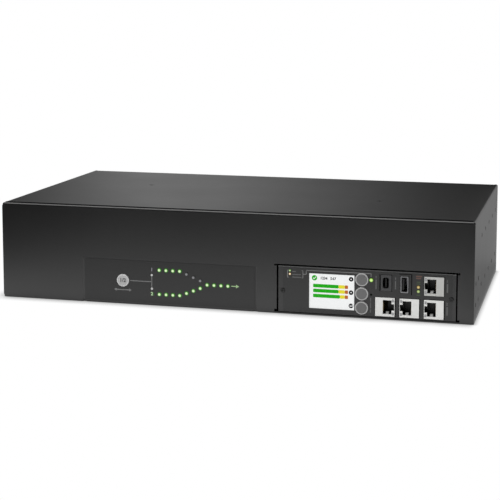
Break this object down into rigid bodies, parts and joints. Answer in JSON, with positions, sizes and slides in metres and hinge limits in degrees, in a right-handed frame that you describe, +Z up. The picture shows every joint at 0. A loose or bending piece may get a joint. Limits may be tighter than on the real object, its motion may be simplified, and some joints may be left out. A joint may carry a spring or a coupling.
{
  "type": "rack automatic transfer switch",
  "caption": "Two-unit rack chassis that moves its load between two inputs, with a status panel, a display module with network ports in front, and outlets at the rear.",
  "frame": {"origin": "middle of the case's bottom face", "axes": "+X to the right seen from the front, +Y to the rear, +Z up"},
  "size_m": [0.432, 0.258, 0.088],
  "materials": {
    "case_paint": "fine black powder coat",
    "module_paint": "satin black",
    "zinc_steel": "zinc plated",
    "black_screw": "black oxide",
    "status_film": "printed matt film",
    "module_film": "printed matt film",
    "lamp_green": "lit green lamps",
    "lamp_mixed": "lit green and amber lamps",
    "lamp_body": "clear resin",
    "circuit_board": "green solder resist",
    "button_silver": "silver grey",
    "key_grey": "grey with a paler rim",
    "black_plastic": "matt black",
    "window_clear": "clear",
    "display_screen": "lit display",
    "port_steel": "tin plated",
    "gold_contact": "gold plated",
    "jack_lamp": "unlit lamp",
    "jack_silver": "bright plated",
    "relay_plastic": "dark blue",
    "capacitor_sleeve": "sleeved can",
    "transformer_core": "taped winding",
    "terminal_grey": "grey",
    "gland_plastic": "black nylon",
    "brass_stud": "bright",
    "outlet_plastic": "black",
    "rocker_plastic": "black"
  },
  "bodies": {
    "chassis": {"base_tray": "case_paint", "top_cover": "case_paint", "rear_panel": "case_paint", "module_bay": "case_paint", "module_faceplate": "module_paint", "module_tray": "zinc_steel", "side_nuts": "zinc_steel", "cover_posts": "zinc_steel", "case_screws": "black_screw", "status_label": "status_film", "module_label": "module_film", "status_light_pipes": "lamp_green", "module_light_pipes": "lamp_mixed", "indicator_leds": "lamp_body", "status_board": "circuit_board", "module_front_board": "circuit_board", "module_main_board": "circuit_board", "main_board": "circuit_board", "outlet_board": "circuit_board", "preference_switch": "black_plastic", "key_switches": "black_plastic", "reset_switch": "black_plastic", "module_screws": "black_screw", "display_window": "window_clear", "display_panel": "display_screen", "display_frame": "black_plastic", "usb_a_shell": "port_steel", "usb_b_shell": "port_steel", "usb_tongues": "black_plastic", "jack_contacts": "gold_contact", "jack_lights": "jack_lamp", "bay_connector": "black_plastic", "board_standoffs": "zinc_steel", "board_screws": "zinc_steel", "transfer_relays": "relay_plastic", "bus_capacitors": "capacitor_sleeve", "supply_transformers": "transformer_core", "current_sensors": "black_plastic", "input_terminals": "terminal_grey", "breaker_bodies": "black_plastic", "cord_glands": "gland_plastic", "gland_nuts": "gland_plastic", "ground_stud": "brass_stud", "large_outlet_1": "outlet_plastic", "large_outlet_2": "outlet_plastic", "network_jack_1": "jack_silver", "outlet_strip_1": "outlet_plastic", "network_jack_2": "jack_silver", "outlet_strip_2": "outlet_plastic", "network_jack_3": "jack_silver", "outlet_strip_3": "outlet_plastic", "network_jack_4": "jack_silver", "outlet_strip_4": "outlet_plastic"},
    "preference": {"preference_button": "button_silver"},
    "up": {"up_key": "key_grey"},
    "down": {"down_key": "key_grey"},
    "enter": {"enter_key": "key_grey"},
    "rocker_1": {"breaker_rocker_1": "rocker_plastic"},
    "rocker_2": {"breaker_rocker_2": "rocker_plastic"}
  },
  "joints": [
    {"name": "preference_press", "type": "slide", "parent": "chassis", "child": "preference", "axis": [0, 1, 0], "range_m": [0, 0.0008], "stiffness_N_per_m": 1500},
    {"name": "up_press", "type": "slide", "parent": "chassis", "child": "up", "axis": [0, 1, 0], "range_m": [0, 0.0006], "stiffness_N_per_m": 2000},
    {"name": "down_press", "type": "slide", "parent": "chassis", "child": "down", "axis": [0, 1, 0], "range_m": [0, 0.0006], "stiffness_N_per_m": 2000},
    {"name": "enter_press", "type": "slide", "parent": "chassis", "child": "enter", "axis": [0, 1, 0], "range_m": [0, 0.0006], "stiffness_N_per_m": 2000},
    {"name": "rocker_1_switch", "type": "hinge", "parent": "chassis", "child": "rocker_1", "pos_m": [0.083, 0.1149, 0.044], "axis": [1, 0, 0], "range_deg": [-18, 0]},
    {"name": "rocker_2_switch", "type": "hinge", "parent": "chassis", "child": "rocker_2", "pos_m": [0.105, 0.1149, 0.044], "axis": [1, 0, 0], "range_deg": [-18, 0]}
  ]
}
